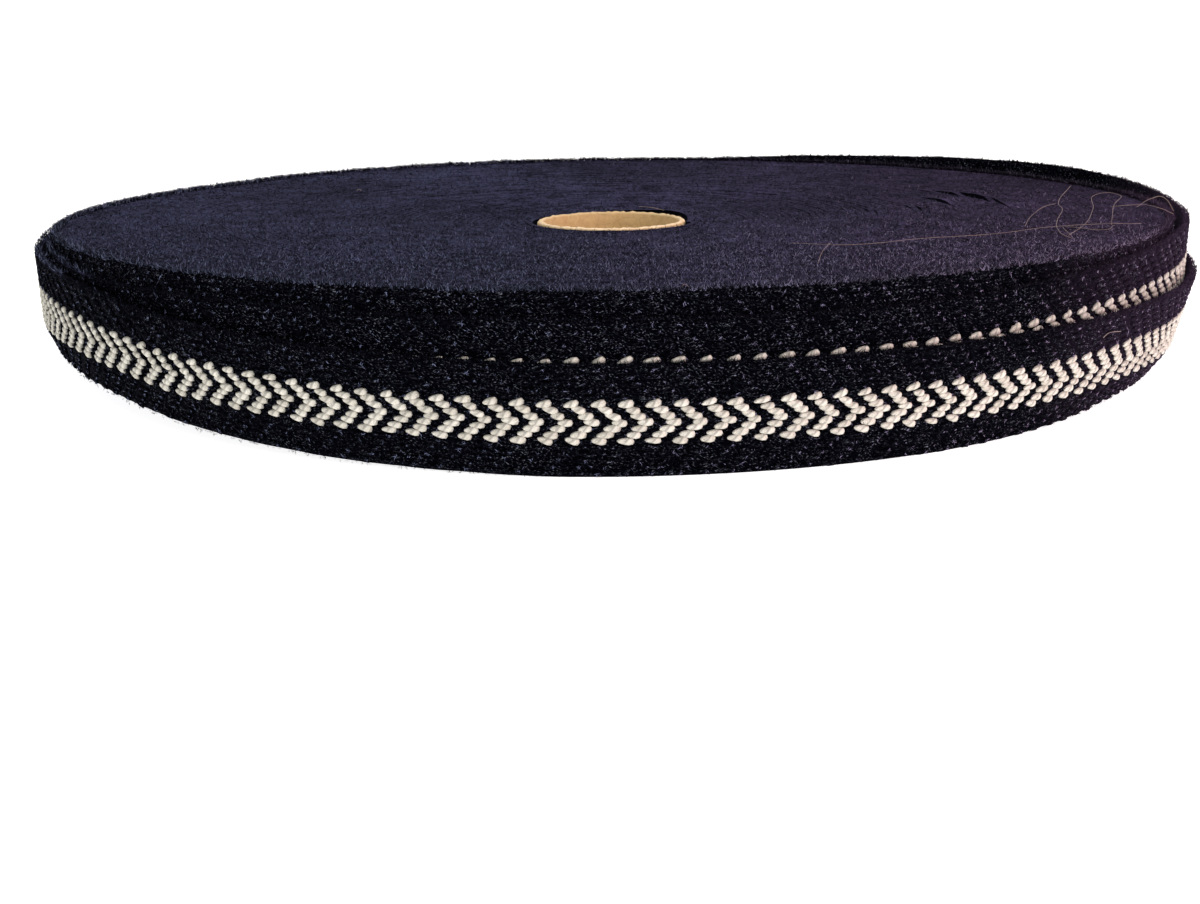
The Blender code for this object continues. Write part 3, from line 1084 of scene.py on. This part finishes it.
# %% The glints on the sides of the outer turns
SIDE_HAIRS = 96000
CREAM_GAP_AT = 2.9              # from a cream float's middle to the gap after it
CREAM_SHARE, BACK_SHARE = 0.6, 0.1
SIDE_SCATTER = (0.18, 0.13)     # along and down
SIDE_THICKNESS = 0.22
row = rng.integers(1, WARP_ROWS + 1, SIDE_HAIRS)
in_cream = np.isin(row, CREAM_ROWS)
pitch = 360 / CHEVRONS_PER_TURN
number = rng.integers(round(OUTER_START / pitch), round(OUTER_END / pitch), SIDE_HAIRS)
degrees_per_mm = math.degrees(1 / BODY_RADIUS)
shift = np.abs(row - APEX_ROW) * PICK - in_cream * CREAM_GAP_AT
either_way = in_cream | (rng.random(SIDE_HAIRS) < BACK_SHARE)
ahead = np.where(either_way, rng.choice((-1, 1), SIDE_HAIRS), 1)
scatter = PICK * ahead + rng.normal(0, SIDE_SCATTER[0], SIDE_HAIRS)
along = number * pitch + cream_float.phase + (scatter - shift) * degrees_per_mm
down = row_down(row) + rng.normal(0, SIDE_SCATTER[1], SIDE_HAIRS)
keep = ~in_cream | (rng.random(SIDE_HAIRS) < CREAM_SHARE)
keep &= (along > OUTER_START) & (along < OUTER_END)
deepest = np.where(along < LEAVES_AT, 5, np.where(along < OUTER_END - 360, 9, WARP_ROWS))
keep &= row <= deepest
along, down, in_cream = along[keep], down[keep], in_cream[keep]
size = len(along)
root_out = np.where(in_cream, 0.0, 0.2)
roots = on_braid(along, down, root_out)
tips = on_braid(along + rng.normal(0, 0.3, size), down + rng.normal(0, 0.5, size),
                root_out + np.abs(rng.normal(0, 0.15, size)))
lengths = rng.gamma(4, 0.09, size) + SHORTEST
# the pale tones are painted glints
side_hairs = hairs("side_hairs", roots, tips - roots, lengths, SIDE_THICKNESS,
                   tones(size, 0.45, 0.56))

# %% [markdown]
# A few long hairs have worked loose and lie over the right of the upper face, some in
# loops that stand up a little. A short one clings to the side, and two specks of pale
# lint lie on the felt. Each is a curve with a thin round section, through a few points
# in millimetres, and the curves are then turned into one mesh.

# %% Stray hairs
STRAY_HAIR_RADIUS = 0.045
STRAY_HAIRS = [
    [(41, -58, 25.2), (54, -64, 25.4), (71, -57, 25.8), (88, -50, 25.8), (103, -39, 26.0),
     (116, -37, 26.3), (124, -35, 26.0)],
    [(112, 2, 31), (106, -23, 29.5), (106, -31, 29), (104, -38, 27.5), (103, -49, 26.3),
     (104, -53, 25.6), (105, -40, 26)],
    [(106, -18, 29), (103, -20, 28.5), (100, -23, 27), (97, -33, 25.4)],
    [(105, -51, 25.4), (109, -46, 27), (113, -32, 29), (117, -15, 31), (120, -15, 31),
     (118, -30, 29), (117, -35, 25.8)],
    [(118, -26, 29), (121, -28, 29.5), (126, -27, 29.5), (130, -27, 28.5), (133, -25, 27)],
    [(124, -27, 29), (128, -23, 30.5), (132, -19, 30), (134, -19, 27)],
    [(106, -36, 25.6), (109, -40, 25.8), (113, -43, 25.6), (118, -33, 25.5)],
    [(45, -94, 25.2), (47, -81, 26.5), (49, -73, 27)],
    [(7, 20, 25.0), (10, 16, 25.2), (13, 12, 24.9)],
    [(104, -120, 12), (106, -115, 12.3), (109, -111, 12)],
    [(-66, 60, 25.3), (-65.4, 60.4, 25.7), (-64.8, 60, 25.3)],
    [(14.6, -132, 25.4), (15.2, -131, 25.9), (16, -131.6, 25.4)],
]
tree, shader, stray_wool = new_material("undyed_wool_hair")
place = add(tree, "TexCoord")
along_hair = add(tree, "TexNoise", {"Vector": place.outputs["Object"], "Scale": 300.0})
shade = add(tree, "Mix", {0: along_hair, 6: colour("45363a"),
                          7: colour("b8a296")}, data_type="RGBA")
fill(tree, shader, {"Base Color": shade, "Roughness": 0.5})
curve = bpy.data.curves.new("stray_hairs", "CURVE")
curve.dimensions = "3D"
curve.resolution_u = 8
curve.bevel_depth = STRAY_HAIR_RADIUS / 1000
curve.bevel_resolution = 1
curve.use_fill_caps = True
for path in STRAY_HAIRS:
    spline = curve.splines.new("BEZIER")
    spline.bezier_points.add(len(path) - 1)
    for point, at in zip(spline.bezier_points, leaned(np.array(path, float))):
        point.co = at
        point.handle_left_type = point.handle_right_type = "AUTO"
drawn = bpy.data.objects.new("stray_hair_curve", curve)
scene.collection.objects.link(drawn)
bpy.context.view_layer.update()
stray_mesh = bpy.data.meshes.new_from_object(drawn)
bpy.data.objects.remove(drawn, do_unlink=True)
stray_mesh.name = "stray_hairs"
stray_mesh.materials.clear()
finished("stray_hairs", stray_mesh, stray_wool)
